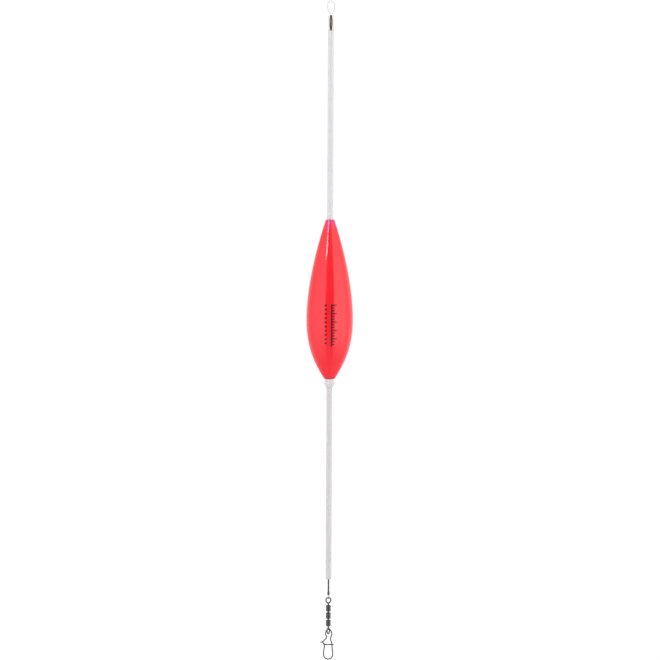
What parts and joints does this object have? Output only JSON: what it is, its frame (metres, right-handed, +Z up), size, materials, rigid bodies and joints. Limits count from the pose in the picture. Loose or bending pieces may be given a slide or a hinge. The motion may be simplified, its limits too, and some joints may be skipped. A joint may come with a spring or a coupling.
{
  "type": "casting float",
  "caption": "Ready-rigged casting float: torpedo body on a guide tube that slides on a crimped clear leader, with a barrel swivel chain and a cross-lock snap below.",
  "frame": {"origin": "inside of the top loop's apex, where the main line is tied", "axes": "+Z up along the float, +X across the plane of the top loop, +Y to the back"},
  "size_m": [0.0281, 0.028, 0.3956],
  "materials": {
    "clear_line": "clear stiff monofilament",
    "crimp_metal": "blackened brass, pressed flat in the middle",
    "clear_silicone": "clear soft silicone",
    "milky_tube": "milky translucent tubing",
    "magenta_plastic": "fluorescent magenta moulding",
    "red_lacquer": "smooth fluorescent red lacquer, high gloss",
    "white_plastic": "plain extruded plastic",
    "ballast_brass": "turned brass",
    "milky_collar": "milky translucent moulding, glossy",
    "black_nickel": "black nickel plating over brass",
    "snap_steel": "black nickel plated spring wire"
  },
  "bodies": {
    "leader": {"leader_line": "clear_line", "top_crimp": "crimp_metal", "bottom_crimp": "crimp_metal"},
    "stopper": {"stopper_sleeve": "clear_silicone"},
    "float": {"upper_tube": "milky_tube", "top_bush": "magenta_plastic", "float_body": "red_lacquer", "core_tube": "white_plastic", "ballast_sleeve": "ballast_brass", "lower_collar": "milky_collar", "lower_tube": "milky_tube"},
    "upper_eye": {"swivel_upper_eye": "black_nickel"},
    "barrel_1": {"swivel_barrel_1": "black_nickel"},
    "link_1": {"swivel_link_1": "black_nickel"},
    "barrel_2": {"swivel_barrel_2": "black_nickel"},
    "link_2": {"swivel_link_2": "black_nickel"},
    "barrel_3": {"swivel_barrel_3": "black_nickel"},
    "lower_eye": {"swivel_lower_eye": "black_nickel"},
    "snap": {"snap_wire": "snap_steel"},
    "gate": {"snap_gate": "snap_steel"}
  },
  "joints": [
    {"name": "float_slide", "type": "slide", "parent": "leader", "child": "stopper", "axis": [0, 0, -1], "range_m": [0, 0.0095]},
    {"name": "float_spin", "type": "hinge", "parent": "stopper", "child": "float", "pos_m": [0, 0, -0.01775], "axis": [0, 0, 1], "continuous": true},
    {"name": "upper_eye_swing", "type": "hinge", "parent": "leader", "child": "upper_eye", "pos_m": [0, 0, -0.3586], "axis": [0, 1, 0], "range_deg": [-60, 60]},
    {"name": "barrel_1_spin", "type": "hinge", "parent": "upper_eye", "child": "barrel_1", "pos_m": [0, 0, -0.363], "axis": [0, 0, 1], "continuous": true},
    {"name": "link_1_spin", "type": "hinge", "parent": "barrel_1", "child": "link_1", "pos_m": [0, 0, -0.366], "axis": [0, 0, 1], "continuous": true},
    {"name": "barrel_2_spin", "type": "hinge", "parent": "link_1", "child": "barrel_2", "pos_m": [0, 0, -0.368], "axis": [0, 0, 1], "continuous": true},
    {"name": "link_2_spin", "type": "hinge", "parent": "barrel_2", "child": "link_2", "pos_m": [0, 0, -0.37], "axis": [0, 0, 1], "continuous": true},
    {"name": "barrel_3_spin", "type": "hinge", "parent": "link_2", "child": "barrel_3", "pos_m": [0, 0, -0.372], "axis": [0, 0, 1], "continuous": true},
    {"name": "lower_eye_spin", "type": "hinge", "parent": "barrel_3", "child": "lower_eye", "pos_m": [0, 0, -0.375], "axis": [0, 0, 1], "continuous": true},
    {"name": "snap_swing", "type": "hinge", "parent": "lower_eye", "child": "snap", "pos_m": [0, 0, -0.37687], "axis": [1, 0, 0], "range_deg": [-35, 35]},
    {"name": "snap_gate_open", "type": "hinge", "parent": "snap", "child": "gate", "pos_m": [-0.00005, 0, -0.39475], "axis": [1, 0, 0], "range_deg": [0, 30], "stiffness_Nm_per_rad": 0.0002, "springref_deg": -11.46}
  ]
}
